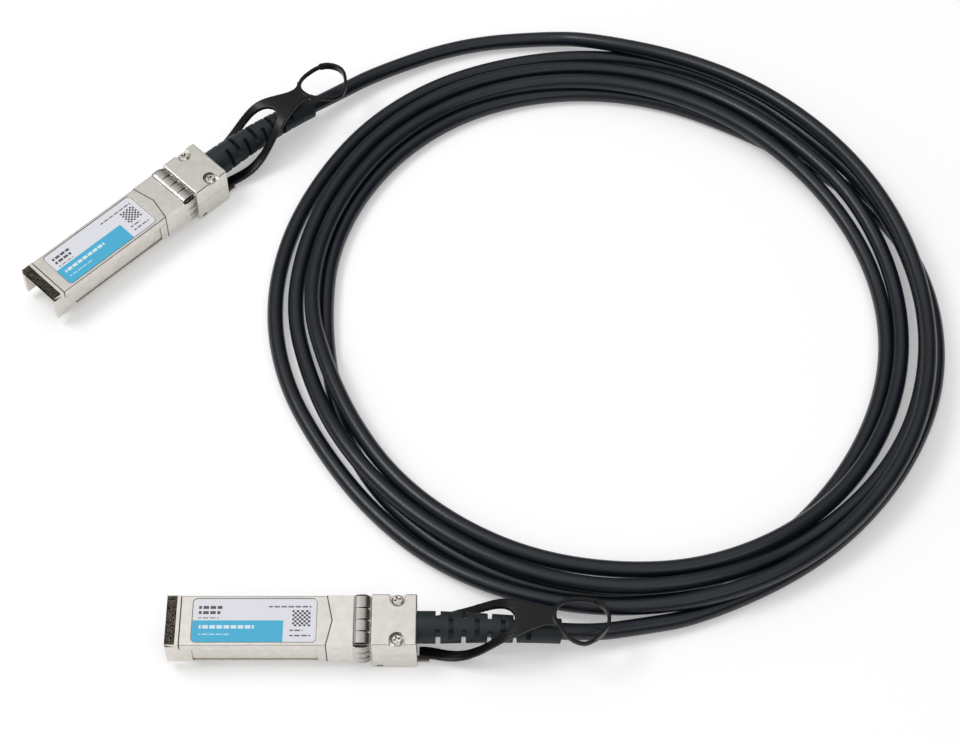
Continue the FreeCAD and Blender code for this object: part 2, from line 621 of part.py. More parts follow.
def tube(wire, radius):
    """A round rod along a wire of lines and arcs, made of cylinders and pieces of torus."""
    solids = []
    for edge in wire.OrderedEdges:
        start, end = edge.Vertexes[0].Point, edge.Vertexes[-1].Point
        heading = edge.tangentAt(edge.FirstParameter)
        disc = Part.Face(Part.Wire(Part.makeCircle(radius, start, heading)))
        if isinstance(edge.Curve, Part.Line):
            solids.append(disc.extrude(end - start))
        else:
            axis = heading.cross(end - start)
            turn = math.degrees(edge.Length / edge.Curve.Radius)
            solids.append(disc.revolve(edge.Curve.Center, axis, turn))
    return solids[0].multiFuse(solids[1:]).removeSplitter().Solids[0]


# ---------------------------------------------------------------- cable end: jacket, ferrule, boot

class BootArc:
    """The bent centre line of a boot: straight inside the backshell, then one arc."""

    def __init__(self, tag):
        self.origin = Vector(size(REAR), 0, size(CABLE_LEVEL))
        self.radius = size("bend_radius" + tag)
        roll = Rotation(Vector(1, 0, 0), -size("bend_roll" + tag))
        self.down = roll.multVec(Vector(0, 0, -1))
        self.hinge = Vector(1, 0, 0).cross(self.down)

    def point(self, distance):
        angle = distance / self.radius
        return (self.origin + Vector(1, 0, 0) * (self.radius * math.sin(angle))
                + self.down * (self.radius * (1 - math.cos(angle))))

    def turn(self, distance):
        return Rotation(self.hinge, math.degrees(distance / self.radius))

    def along(self, distance):
        return self.turn(distance).multVec(Vector(1, 0, 0))

    def edge(self, start, end):
        return Part.Arc(self.point(start), self.point((start + end) / 2), self.point(end)).toShape()

    def ring(self, distance, radius):
        return Part.Wire(Part.makeCircle(radius, self.point(distance), self.along(distance)))

    def carry(self, shape, distance):
        """Move a shape drawn round the plug's axis at x = 0 to its station on the arc."""
        shape.Placement = Placement(self.point(distance), self.turn(distance)) * shape.Placement
        return shape


def jacket_end(tag, place):
    """The cable's own jacket from the ferrule to the boot's end."""
    arc, radius = BootArc(tag), size("cable_diameter") / 2
    start = Vector(size("body_length + jacket_start"), 0, size(CABLE_LEVEL))
    path = Part.Wire([Part.LineSegment(start, arc.point(0)).toShape(), arc.edge(0, size("boot_length"))])
    finish(own_shape("jacket_end" + tag, tube(path, radius)), "jacket_end" + tag, place)


def crimp_ferrule(tag, place):
    start = "body_length + ferrule_setback"
    outer = along("ferrule_outer" + tag, "ferrule_radius", start, start + " + ferrule_length", "0",
                  CABLE_LEVEL)
    inner = along("ferrule_inner" + tag, "cable_diameter / 2 + 0.03", start + " - 1",
                  start + " + ferrule_length + 1", "0", CABLE_LEVEL)
    ends = (start + " + groove_start", start + " + groove_start + groove_wide")
    core = along("ferrule_core" + tag, "ferrule_radius - ferrule_groove", *ends, "0", CABLE_LEVEL)
    groove = cut("ferrule_groove" + tag,
                 along("ferrule_band" + tag, "ferrule_radius + 1", *ends, "0", CABLE_LEVEL), [core])
    finish(cut("crimp_ferrule" + tag, outer, [inner, groove]), "crimp_ferrule" + tag, place)


def boot(tag, place):
    """Overmoulded strain relief: a tapered sleeve bent with the cable.

    Each slot is cut from two opposite sides, past the jacket, and leaves two narrow webs between the
    ribs; the next slot is turned a quarter round, so the sleeve bends every way.
    """
    arc, length, rear = BootArc(tag), size("boot_length"), size(REAR)
    root, tip = size("boot_root"), size("boot_tip")
    level, gap = size(CABLE_LEVEL), size("seam")
    taper_end = size("slot_first + (slot_count - 0.4) * slot_pitch")
    stations = [(gap, root), (size("slot_first") - 1.0, root), (taper_end, tip + 0.12), (length, tip)]
    solids = []
    for (start, wide), (end, narrow) in zip(stations, stations[1:]):
        spine = Part.Wire(arc.edge(start, end))
        solids.append(spine.makePipeShell([arc.ring(start, wide), arc.ring(end, narrow)], True, False))
    flange_end = rear - size("rear_wall") - gap
    flange_start = flange_end - size("flange_thick")
    for start, end, radius in ((flange_start, flange_end, "boot_flange"),
                               (flange_end - 0.5, rear + 0.5, "boot_neck")):
        solids.append(Part.makeCylinder(size(radius), end - start, Vector(start, 0, level), Vector(1, 0, 0)))
    body = solids[0].multiFuse(solids[1:])
    slot_wide, floor, roll = size("slot_wide"), size("slot_floor"), size("slot_roll" + tag)
    cutters = []
    for index in range(int(round(size("slot_count")))):
        station = size("slot_first") + index * size("slot_pitch")
        for side in (0, 180):
            cutter = Part.makeBox(slot_wide, 4 * root, 2 * root, Vector(-slot_wide / 2, -2 * root, floor))
            cutter.rotate(Vector(), Vector(1, 0, 0), roll + side + (90 if index % 2 == 0 else 0))
            cutters.append(arc.carry(cutter, station))
    bore_start = Vector(flange_start - 1, 0, level)
    bore_path = Part.Wire([Part.LineSegment(bore_start, arc.point(0)).toShape(), arc.edge(0, length + 2)])
    bore = tube(bore_path, size("cable_diameter / 2 + 0.04"))
    whole = body.cut(cutters).cut(bore).Solids
    if len(whole) != 1:
        raise RuntimeError("the strain relief came out in %d pieces" % len(whole))
    finish(own_shape("boot" + tag, whole[0]), "strain_relief" + tag, place)


# ---------------------------------------------------------------- release: slide, springs, pull tab

def latch_slide(tag, place):
    """A folded sheet: prongs beside the boss, a plate in the backshell, two legs stepped down to the tab."""
    low, high = SLIDE_LOW, SLIDE_LOW + " + slide_thick"
    plate_start = SLIDE_START + " + prong_length"
    solids = [
        middle("slide_tongue" + tag, plate_start, "body_length + 1.0", "(2 * prong_outer)", low, high),
        middle("slide_plate" + tag, "body_length + 0.9", PLATE_END, YOKE_WIDE, low, high),
    ]
    for side in ("left", "right"):
        prong = across(side, "prong_inner", "prong_outer")
        legs = across(side, LEG_INNER, LEG_OUTER)
        room = "(spring_radius + spring_wire)"
        lug = across(side, "%s - %s" % (SPRING_SPREAD, room), "%s + %s" % (SPRING_SPREAD, room))
        lug_start = "body_length + lug_setback"
        solids += [
            slab("prong_%s%s" % (side, tag), SLIDE_START, plate_start + " + 0.1", *prong, low, high),
            slab("leg_step_%s%s" % (side, tag), PLATE_END + " - leg_step", PLATE_END, *legs, LEG_LOW, high),
            slab("leg_%s%s" % (side, tag), PLATE_END + " - leg_step", REAR + " + leg_proud", *legs, LEG_LOW,
                 LEG_LOW + " + slide_thick"),
            slab("lug_%s%s" % (side, tag), lug_start, lug_start + " + lug_thick", *lug,
                 "spring_level - " + room, low + " + 0.1"),
        ]
    blank = fuse("slide_blank" + tag, solids)
    bevel = middle("prong_bevel" + tag, SLIDE_START + " - 1", SLIDE_START + " + 0.5", "(2 * prong_outer + 1)",
                   "0", low + " + slide_thick / 2")
    finish(cut("latch_slide" + tag, blank, [bevel]), "latch_slide" + tag, place)


def return_spring(tag, side, sign, place):
    """Compression spring between the slide's lug and the backshell's rear wall."""
    start = size("body_length + lug_setback + lug_thick")
    end = size(REAR + " - rear_wall - spring_stop")
    radius, wire = size("spring_radius"), size("spring_wire")
    height = end - start - 2 * wire
    steps = 12 * int(round(size("spring_turns")))
    turn = 2 * math.pi * size("spring_turns") / steps
    path = [Vector(radius * math.cos(turn * step), radius * math.sin(turn * step), height * step / steps)
            for step in range(steps + 1)]
    ahead = path[1] - path[0]
    sideways = ahead.cross(Vector(1, 0, 0)).normalize()
    outward = sideways.cross(ahead).normalize()
    section = [path[0] + (outward * math.cos(corner) + sideways * math.sin(corner)) * wire
               for corner in (math.radians(60 * index) for index in range(6))]
    coiled = Part.makePolygon(path).makePipeShell([Part.makePolygon(section + section[:1])], True, False, 1)
    coiled.Placement = Placement(Vector(start + wire, sign * size(SPRING_SPREAD), size("spring_level")),
                                 Rotation(Vector(0, 1, 0), 90))
    item = own_shape("spring_%s%s" % (side, tag), coiled)
    finish(item, "return_spring_%s%s" % (side, tag), place * item.Placement)


def spline(points):
    curve = Part.BSplineCurve()
    curve.interpolate(points)
    return curve


def closed_curve(points):
    curve = Part.BSplineCurve()
    curve.interpolate(points, PeriodicFlag=True)
    return curve


def inset(curve, wall, stations=16):
    """A closed curve that lies a wall's thickness inside another, in the XY plane."""
    first, last = curve.FirstParameter, curve.LastParameter
    points = []
    for index in range(stations):
        here = first + (last - first) * index / stations
        side = Vector(0, 0, 1).cross(curve.tangent(here)[0])
        centre = Part.Face(Part.Wire(curve.toShape())).CenterOfMass
        inward = side if side.dot(centre - curve.value(here)) > 0 else -side
        points.append(curve.value(here) + inward * wall)
    return closed_curve(points)


# half outline of the strap and of the window between its arms, as shares of the boot's length and of
# the strap's half width, then the finger ring's outline as shares of its length and half width
STRAP_SIDE = ((0.012, 0.75), (0.14, 0.86), (0.255, 0.975), (0.385, 1.0), (0.525, 0.92), (0.655, 0.76),
              (0.775, 0.53), (0.86, 0.38))
STRAP_WINDOW = ((0.012, 0.375), (0.125, 0.42), (0.225, 0.56), (0.34, 0.66), (0.455, 0.66), (0.575, 0.53),
                (0.652, 0.29), (0.677, 0.0))
RING_SIDE = ((0.0, 0.33), (0.15, 0.86), (0.5, 0.99), (0.83, 0.80), (1.0, 0.09), (0.84, -0.60),
             (0.53, -1.0), (0.22, -0.68), (0.06, -0.2))
# the strap's rise from the legs to over the boot: shares of the boot's length and of the climb
STRAP_RISE = ((0.012, 0.0), (0.11, 0.0), (0.225, 0.055), (0.37, 0.26), (0.515, 0.64), (0.63, 0.90),
              (0.745, 0.99), (0.86, 1.0), (1.0, 1.0))


def strap_plan(tag):
    """The strap's outline seen from above, with its window, as a tall block."""
    rear, reach, half = size(REAR), size("boot_length"), size("tab_half")
    lean, neck_half = size("tab_lean" + tag), size("neck_half")
    neck_end = size(RING_START + " + 2 * ring_wall")

    def swayed(x, y):
        share = min(max((x - rear) / reach - 0.55, 0) / 0.4, 1)
        return Vector(x, y + lean * share * share * (3 - 2 * share), 0)

    side = [(rear + x * reach, y * half) for x, y in STRAP_SIDE]
    side += [(neck_end - 2.0, neck_half), (neck_end, neck_half + 1.3)]
    upper = [swayed(x, y) for x, y in side]
    lower = [swayed(x, -y) for x, y in side]
    inner = [(rear + x * reach, y * half) for x, y in STRAP_WINDOW]
    window = [swayed(x, y) for x, y in inner] + [swayed(x, -y) for x, y in inner[-2::-1]]
    edges = [spline(upper).toShape(), Part.LineSegment(upper[-1], lower[-1]).toShape(),
             spline(lower[::-1]).toShape(), Part.LineSegment(lower[0], window[-1]).toShape(),
             spline(window[::-1]).toShape(), Part.LineSegment(window[0], upper[0]).toShape()]
    return Part.Face(Part.Wire(edges)).extrude(Vector(0, 0, 2 * size(STRAP_TOP)))


def strap_ribbon():
    """The strap's side view, a ribbon of even thickness, as a block wider than the strap."""
    rear, reach, thick = size(REAR), size("boot_length"), size("strap_thick")
    low, top, wide = size(STRAP_LEVEL), size(STRAP_TOP), 4 * size("tab_half")
    course = [Vector(rear + x * reach, 0, low + share * (top - low)) for x, share in STRAP_RISE]
    above, below = [], []
    for index, here in enumerate(course):
        slope = course[min(index + 1, len(course) - 1)] - course[max(index - 1, 0)]
        slope.normalize()
        normal = Vector(-slope.z, 0, slope.x) * (thick / 2)
        above.append(here + normal)
        below.append(here - normal)
    sides = [spline(above).toShape(), Part.LineSegment(above[-1], below[-1]).toShape(),
             spline(below[::-1]).toShape(), Part.LineSegment(below[0], above[0]).toShape()]
    ribbon = Part.Face(Part.Wire(sides))
    ribbon.translate(Vector(0, -wide / 2, 0))
    return ribbon.extrude(Vector(0, wide, 0))


def disc(curve, z0, z1):
    """What a closed curve in the XY plane holds, between two levels."""
    face = Part.Face(Part.Wire(curve.toShape()))
    face.translate(Vector(0, 0, z0))
    return face.extrude(Vector(0, 0, z1 - z0))


def pull_tab(tag, place):
    """A moulded strap: two arms past the boot, a neck above it and a ring, deeper at the finger's end."""
    top, depth, pad_depth = size(STRAP_TOP), size("ring_depth"), size("pad_depth")
    start, long, half = size(RING_START), size("ring_long"), size("ring_half")
    shift = size("ring_shift" + tag)
    outline = closed_curve([Vector(start + x * long, shift + y * half, 0) for x, y in RING_SIDE])
    hole = inset(outline, size("ring_wall"))
    ring = disc(outline, top - depth / 2, top + depth / 2)
    finger_end = Part.makeBox(long, 4 * half, 2 * pad_depth,
                              Vector(start + 0.72 * long, shift - 2 * half, top - pad_depth))
    finger_pad = disc(outline, top - pad_depth / 2, top + pad_depth / 2).common(finger_end)
    strap = strap_plan(tag).common(strap_ribbon()).Solids[0]
    whole = strap.multiFuse([ring, finger_pad]).cut(disc(hole, top - pad_depth, top + pad_depth)).Solids
    if len(whole) != 1:
        raise RuntimeError("the pull tab's ring and strap don't join")
    finish(own_shape("pull_tab" + tag, whole[0]), "pull_tab" + tag, place)


# ---------------------------------------------------------------- plugs, coil and leads

def plug(tag, place):
    base_shell(tag, place)
    top_cover(tag, place)
    emi_collar(tag, place)
    for side, place_y in screw_places():
        cover_screw(tag, side, place_y, place)
    label(tag, place)
    paddle_card(tag, place)
    card_contacts(tag, place)
    memory_chip(tag, place)
    twinax_wires(tag, place)
    crimp_ferrule(tag, place)
    jacket_end(tag, place)
    boot(tag, place)
    latch_slide(tag, place)
    return_spring(tag, "left", 1, place)
    return_spring(tag, "right", -1, place)
    pull_tab(tag, place)


def coil():
    """The closed solid that all the turns of the coil fit in."""
    body = document.addObject("PartDesign::Body", "cable_coil")
    sketch = sketch_on(body, "XZ_Plane", "coil_section")
    inner, outer = "(coil_middle - coil_band / 2)", "(coil_middle + coil_band / 2)"
    quarter = "coil_high * 0.3"
    closed_outline(sketch, [(inner + " + " + quarter, "0"), (outer + " - " + quarter, "0"), (outer, quarter),
                            (outer, "coil_high - " + quarter), (outer + " - " + quarter, "coil_high"),
                            (inner + " + " + quarter, "coil_high"), (inner, "coil_high - " + quarter),
                            (inner, quarter)])
    turned = body.newObject("PartDesign::Revolution", "coil_turned")
    turned.Profile = sketch
    turned.ReferenceAxis = (sketch, ["V_Axis"])
    turned.Angle = 360.0
    finish(body, "cable_coil", Placement(Vector(*COIL_CENTRE, 0), Rotation()))


# each lead's first run, straight out of its boot, and its route points after that, in the row frame
LEAD_EXITS = {"a": 8.0, "b": 9.0}
LEAD_POINTS = {
    "a": [(82.0, -81.2, 3.2), (97.5, -76.4, 2.2), (113.0, -69.0, 2.1), (120.2, -64.4, 2.1)],
    "b": [(15.5, 95.6, 3.2), (39.5, 107.0, 2.4), (65.0, 109.3, 2.4), (90.0, 105.8, 3.6), (106.0, 99.2, 4.6)],
}


def lead(tag, place):
    """The cable from the boot's end to the coil."""
    arc, end = BootArc(tag), size("boot_length")
    start, name = arc.point(end), tag[1:]
    first = start + arc.along(end) * LEAD_EXITS[name]
    route = [place.multVec(start), place.multVec(first)] + [Vector(*point) for point in LEAD_POINTS[name]]
    wire, radii = tangent_arcs(route)
    radius = size("cable_diameter") / 2
    shape = tube(wire, radius)
    ideal = math.pi * radius ** 2 * wire.Length
    print("lead%s: arcs of radius %s mm, volume %.1f of %.1f mm3"
          % (tag, ", ".join("%.0f" % value for value in radii), shape.Volume, ideal))
    finish(own_shape("cable_lead" + tag, shape), "cable_lead" + tag, Placement())


for name, (x, y, yaw) in PLUG_PLACES.items():
    spot = Placement(Vector(x, y, 0), Rotation(Vector(0, 0, 1), yaw))
    plug("_" + name, spot)
    lead("_" + name, spot)
coil()
document.recompute()

# ---------------------------------------------------------------- checks and files

for item in document.Objects:
    if "Invalid" in item.State or "Error" in item.State:
        raise RuntimeError("%s failed to build" % item.Name)
os.makedirs("parts", exist_ok=True)
for item in nodes:
    if item.Shape.isNull() or not item.Shape.isValid():
        raise RuntimeError("%s has no valid shape" % item.Label)
    item.Shape.exportStep("parts/%s.step" % item.Label)
print("%d nodes" % len(nodes))
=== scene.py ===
"""A direct attach copper cable on a white table: finishes, printed label and the coiled cord."""
import bpy
import json
import math
from mathutils import Matrix, Vector

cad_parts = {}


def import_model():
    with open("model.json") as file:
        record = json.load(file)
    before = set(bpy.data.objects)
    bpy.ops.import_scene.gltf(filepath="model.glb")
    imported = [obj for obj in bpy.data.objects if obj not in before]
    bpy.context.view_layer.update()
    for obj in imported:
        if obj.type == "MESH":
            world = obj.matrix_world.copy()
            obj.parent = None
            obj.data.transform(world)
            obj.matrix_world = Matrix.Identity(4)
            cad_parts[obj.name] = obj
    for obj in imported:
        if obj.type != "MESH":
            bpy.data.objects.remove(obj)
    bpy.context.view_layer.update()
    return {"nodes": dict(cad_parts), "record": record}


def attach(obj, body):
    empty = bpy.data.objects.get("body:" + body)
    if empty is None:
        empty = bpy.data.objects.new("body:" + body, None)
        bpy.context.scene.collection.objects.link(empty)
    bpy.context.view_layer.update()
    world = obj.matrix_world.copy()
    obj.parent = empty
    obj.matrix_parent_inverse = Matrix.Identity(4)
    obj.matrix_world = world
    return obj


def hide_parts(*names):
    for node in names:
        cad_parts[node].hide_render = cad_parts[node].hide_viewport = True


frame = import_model()
MM = 0.001
SIDES = ("a", "b")
CABLE_DIAMETER = 4.2 * MM

# ---------------------------------------------------------------- where the plugs lie


def plug_frame(side):
    """The matrix from a plug's own axes (x from nose to tail, z up from the table) to the row frame."""
    mount = next(m for m in frame["record"]["mounts"] if m["name"] == "port_" + side)
    outward = Vector(mount["axis"])
    yaw = math.atan2(-outward.y, -outward.x)
    nose = Vector((mount["pos_m"][0], mount["pos_m"][1], 0.0))
    return Matrix.Translation(nose) @ Matrix.Rotation(yaw, 4, "Z")


# ---------------------------------------------------------------- node materials

# the two tones of plated die castings, of the spring collar and of the painted dark reflection,
# coarsely grained, on the slope over the nose
NICKEL = ((0.67, 0.64, 0.595), (0.73, 0.70, 0.655))
SPRING = ((0.68, 0.65, 0.61), (0.75, 0.72, 0.68))
PAINTED_NOSE_REFLECTION = ((0.007, 0.006, 0.005), (0.115, 0.10, 0.08))
# the painted shade in seams and corners, how far it reaches and how much of a joint line it covers
PAINTED_SHADE_TONE = (0.05, 0.045, 0.04)
PAINTED_SHADE_REACH = 0.5 * MM
SEAM_COVER = 0.85
# places in a plug's own axes, in mm, where shade is painted: the seam behind the nose and the level that
# it starts at, the collar's vee-shaped edge and its slope, and the run of the fingers in painted shade
NOSE_SEAM = (3.28, 3.60)
NOSE_SEAM_LOW = 9.0
VEE_SEAM = (39.72, 40.04)
VEE_SLOPE = 1.4 / 6.75
FINGER_RUN = (44.9, 48.6)
# the slope over the nose that gets the painted dark reflection (x from, x to, y from, y to), the level
# that it starts at, and the roughness of that casting
NOSE_SLOPE = (-0.1, 2.45, -6.6, 6.6)
NOSE_SLOPE_LOW = 9.97
NOSE_ROUGH = (0.27, 0.42)
# noise: cells per metre and detail of the slow cloud and the fine grain of metal, and cells of mouldings
METAL_CLOUD = (420.0, 4.0)
METAL_GRAIN = (3400.0, 2.0)
MOULD_CLOUD = (160.0, 4.0)
# the part of a noise field that the tones and the roughness are spread over
CLOUD_SPAN = (0.35, 0.65)
GRAIN_SPAN = (0.3, 0.7)
MOULD_SPAN = (0.3, 0.7)
NOSE_SPAN = (0.42, 0.60)
METAL_RELIEF = 0.02 * MM
MOULD_RELIEF = 0.03 * MM
CASTING_EDGE = 0.12 * MM
# the printed label in the plug's own axes, in mm: x from, x to, y from, y to
LABEL_FIELD = (6.0, 28.2, -6.5, 0.0)
LABEL_BLOCK = (30.3, 34.7, -1.6, 2.8)
LABEL_BARS = (
    (7.8, 13.4, 3.1, 3.9, (0.07, 0.07, 0.08)), (7.8, 13.0, 1.7, 2.5, (0.07, 0.07, 0.08)),
    (7.8, 12.6, 0.55, 0.8, (0.10, 0.10, 0.11)), (24.6, 34.8, 3.5, 3.9, (0.12, 0.12, 0.13)),
    (29.8, 32.9, -2.9, -2.5, (0.10, 0.10, 0.11)), (29.8, 34.8, -4.3, -3.9, (0.10, 0.10, 0.11)),
    (8.0, 21.2, -2.2, -1.3, (0.72, 0.86, 0.92)), (8.0, 15.6, -3.9, -3.6, (0.55, 0.78, 0.88)),
)
LABEL_FILM = ((0.76, 0.76, 0.82), (0.80, 0.80, 0.86))
LABEL_CYAN = (0.052, 0.445, 0.693)
LABEL_INK = (0.03, 0.03, 0.035)
# the bars' dashes, one every DASH_PITCH with a gap of DASH_GAP, and the side of the block's squares
DASH_PITCH = 1.7
DASH_GAP = 0.35
BLOCK_CELL = 0.55


class Shade:
    """A small wrapper for building one node material."""

    def __init__(self, name):
        self.material = bpy.data.materials.new(name)
        self.material.use_nodes = True
        self.tree = self.material.node_tree
        self.surface = self.tree.nodes["Principled BSDF"]
        self.output = self.tree.nodes["Material Output"]

    def add(self, kind, **settings):
        """A new node; each setting is one of its properties or the value of one of its sockets."""
        node = self.tree.nodes.new(kind)
        for key, value in settings.items():
            if hasattr(node, key):
                setattr(node, key, value)
            else:
                node.inputs[key.replace("_", " ")].default_value = value
        return node

    def join(self, source, target):
        self.tree.links.new(source, target)

    def set(self, **values):
        """Plain values for the surface's own sockets."""
        for key, value in values.items():
            self.surface.inputs[key.replace("_", " ")].default_value = value

    def place(self):
        """The socket of a point's place in the row frame."""
        return self.add("ShaderNodeTexCoord").outputs["Object"]

    def noise(self, scale, detail=3.0):
        """A noise field; scale is in cells per metre."""
        node = self.add("ShaderNodeTexNoise", Scale=scale, Detail=detail)
        self.join(self.place(), node.inputs["Vector"])
        return node.outputs["Fac"]

    def ramp(self, value, low, high, start=0.0, end=1.0):
        """A value remapped from start..end to low..high."""
        node = self.add("ShaderNodeMapRange")
        for key, amount in (("From Min", start), ("From Max", end), ("To Min", low), ("To Max", high)):
            node.inputs[key].default_value = amount
        self.join(value, node.inputs["Value"])
        return node.outputs["Result"]

    def mix(self, amount, first, second):
        """A colour between two colours or colour sockets."""
        node = self.add("ShaderNodeMix", data_type="RGBA")
        self.join(amount, node.inputs[0])
        for slot, value in ((6, first), (7, second)):
            if isinstance(value, tuple):
                node.inputs[slot].default_value = value + (1.0,)
            else:
                self.join(value, node.inputs[slot])
        return node.outputs[2]

    def bump(self, height, strength, depth, normal=None):
        """A fine relief on the surface, over rounded edges where a normal is given."""
        node = self.add("ShaderNodeBump", Strength=strength, Distance=depth)
        self.join(height, node.inputs["Height"])
        if normal is not None:
            self.join(normal, node.inputs["Normal"])
        self.join(node.outputs["Normal"], self.surface.inputs["Normal"])

    def local(self, side):
        """The x, y and z sockets of a point in a plug's own axes, in millimetres."""
        place = plug_frame(side).inverted()
        mapping = self.add("ShaderNodeMapping")
        mapping.inputs["Scale"].default_value = (1 / MM,) * 3
        mapping.inputs["Rotation"].default_value = place.to_euler()
        mapping.inputs["Location"].default_value = place.translation / MM
        self.join(self.place(), mapping.inputs["Vector"])
        split = self.add("ShaderNodeSeparateXYZ")
        self.join(mapping.outputs["Vector"], split.inputs[0])
        return split.outputs

    def math(self, operation, first, second=None):
        """The result of a sum on numbers or sockets."""
        node = self.add("ShaderNodeMath", operation=operation)
        for index, value in enumerate((first, second)):
            if isinstance(value, (int, float)):
                node.inputs[index].default_value = value
            elif value is not None:
                self.join(value, node.inputs[index])
        return node.outputs[0]

    def between(self, value, low, high):
        """One where low < value < high, else nothing."""
        return self.math("MULTIPLY", self.math("GREATER_THAN", value, low),
                         self.math("LESS_THAN", value, high))

    def patch(self, spot, x0, x1, y0, y1):
        """A rectangle in the x, y plane of a plug."""
        return self.math("MULTIPLY", self.between(spot[0], x0, x1), self.between(spot[1], y0, y1))

    def painted_crevice_shade(self, reach, tone, shade_tone):
        """Painted shade: a tone that darkens in seams and corners narrower than reach."""
        open_air = self.add("ShaderNodeAmbientOcclusion", samples=8, Distance=reach).outputs["AO"]
        return self.mix(self.ramp(open_air, 1.0, 0.0, 0.30, 0.80), tone, shade_tone)

    def seams(self, spot, tone):
        """Painted shade: dark joint lines behind the nose and along the collar's vee-shaped front edge."""
        x, y, z = spot
        above = self.math("GREATER_THAN", z, NOSE_SEAM_LOW)
        nose = self.math("MULTIPLY", self.between(x, *NOSE_SEAM), above)
        slant = self.math("ADD", x, self.math("MULTIPLY", self.math("ABSOLUTE", y), VEE_SLOPE))
        line = self.math("MAXIMUM", nose, self.between(slant, *VEE_SEAM))
        return self.mix(self.math("MULTIPLY", line, SEAM_COVER), tone, PAINTED_SHADE_TONE)

    def paint(self, tone):
        """The surface's colour."""
        self.join(tone, self.surface.inputs["Base Color"])

    def polish(self, grain, low, high):
        """A roughness that goes from low to high with the grain."""
        self.join(self.ramp(grain, low, high, *GRAIN_SPAN), self.surface.inputs["Roughness"])

    def rounded_edges(self, radius):
        """A normal that bends round edges, as a small fillet would."""
        return self.add("ShaderNodeBevel", samples=6, Radius=radius).outputs["Normal"]


def metal(name, low, high, rough, grain, edge=CASTING_EDGE, side=None, finger_shade=0.0):
    """Plated metal: two close tones, a satin grain, painted shade in seams and corners, and slightly
    rounded edges.
    """
    shade = Shade(name)
    shade.set(Metallic=1.0)
    cloud = shade.noise(*METAL_CLOUD)
    fine = shade.noise(*METAL_GRAIN)
    tone = shade.mix(shade.ramp(cloud, 0.0, 1.0, *CLOUD_SPAN), low, high)
    if side:
        spot = shade.local(side)
        # painted shade: dark joint lines behind the nose and along the collar's vee
        tone = shade.seams(spot, tone)
        # painted shade: the collar's fingers darken towards their rear ends
        tone = shade.mix(shade.ramp(spot[0], 0.0, finger_shade, *FINGER_RUN), tone, PAINTED_SHADE_TONE)
    # painted shade darkens the tone in seams and corners
    shade.paint(shade.painted_crevice_shade(PAINTED_SHADE_REACH, tone, PAINTED_SHADE_TONE))
    shade.polish(fine, rough - 0.05, rough + 0.07)
    shade.bump(fine, grain, METAL_RELIEF, shade.rounded_edges(edge))
    return shade.material


def polymer(name, low, high, rough, grain, cells, specular=0.5, edge=0.1 * MM):
    """A dielectric surface with a fine grain and a slow drift of tone."""
    shade = Shade(name)
    shade.set(Specular_IOR_Level=specular)
    cloud = shade.noise(*MOULD_CLOUD)
    fine = shade.noise(cells)
    shade.paint(shade.mix(shade.ramp(cloud, 0.0, 1.0, *MOULD_SPAN), low, high))
    shade.polish(fine, rough - 0.05, rough + 0.08)
    shade.bump(fine, grain, MOULD_RELIEF, shade.rounded_edges(edge))
    return shade.material


def nose_metal(side):
    """The base's nickel, with a painted dark reflection, coarsely grained, on the sloping face over the
    nose.
    """
    shade = Shade("nickel_base_" + side)
    shade.set(Metallic=1.0)
    x, y, z = shade.local(side)
    slope = shade.math("MULTIPLY", shade.patch((x, y), *NOSE_SLOPE),
                       shade.math("GREATER_THAN", z, NOSE_SLOPE_LOW))
    cloud = shade.noise(*METAL_CLOUD)
    fine = shade.noise(*METAL_GRAIN)
    plain = shade.mix(shade.ramp(cloud, 0.0, 1.0, *CLOUD_SPAN), *NICKEL)
    # painted dark reflection on the slope over the nose, in two grained tones
    painted_reflection = shade.mix(shade.ramp(fine, 0.0, 1.0, *NOSE_SPAN), *PAINTED_NOSE_REFLECTION)
    # painted shade: dark joint lines, then darkening in seams and corners
    tone = shade.seams((x, y, z), shade.mix(slope, plain, painted_reflection))
    shade.paint(shade.painted_crevice_shade(PAINTED_SHADE_REACH, tone, PAINTED_SHADE_TONE))
    shade.polish(fine, *NOSE_ROUGH)
    shade.bump(fine, 0.14, METAL_RELIEF, shade.rounded_edges(CASTING_EDGE))
    return shade.material


def label_print(side):
    """Pale film with a cyan field; plain bars and squares stand where words and a code would be."""
    shade = Shade("label_print_" + side)
    x, y = shade.local(side)[:2]
    tone = shade.mix(shade.noise(160.0), *LABEL_FILM)
    tone = shade.mix(shade.patch((x, y), *LABEL_FIELD), tone, LABEL_CYAN)
    for x0, x1, y0, y1, ink in LABEL_BARS:
        dashes = shade.math("GREATER_THAN", shade.math("FLOORED_MODULO", x, DASH_PITCH), DASH_GAP)
        bar = shade.math("MULTIPLY", shade.patch((x, y), x0, x1, y0, y1), dashes)
        tone = shade.mix(bar, tone, ink)
    column, row = (shade.math("FLOOR", shade.math("DIVIDE", place, BLOCK_CELL)) for place in (x, y))
    squares = shade.math("FLOORED_MODULO", shade.math("ADD", column, row), 2.0)
    block = shade.math("MULTIPLY", shade.patch((x, y), *LABEL_BLOCK), squares)
    shade.paint(shade.mix(block, tone, LABEL_INK))
    shade.set(Roughness=0.38, Coat_Weight=0.15, Coat_Roughness=0.2)
    shade.bump(shade.noise(900.0, 2.0), 0.03, 0.02 * MM)
    return shade.material


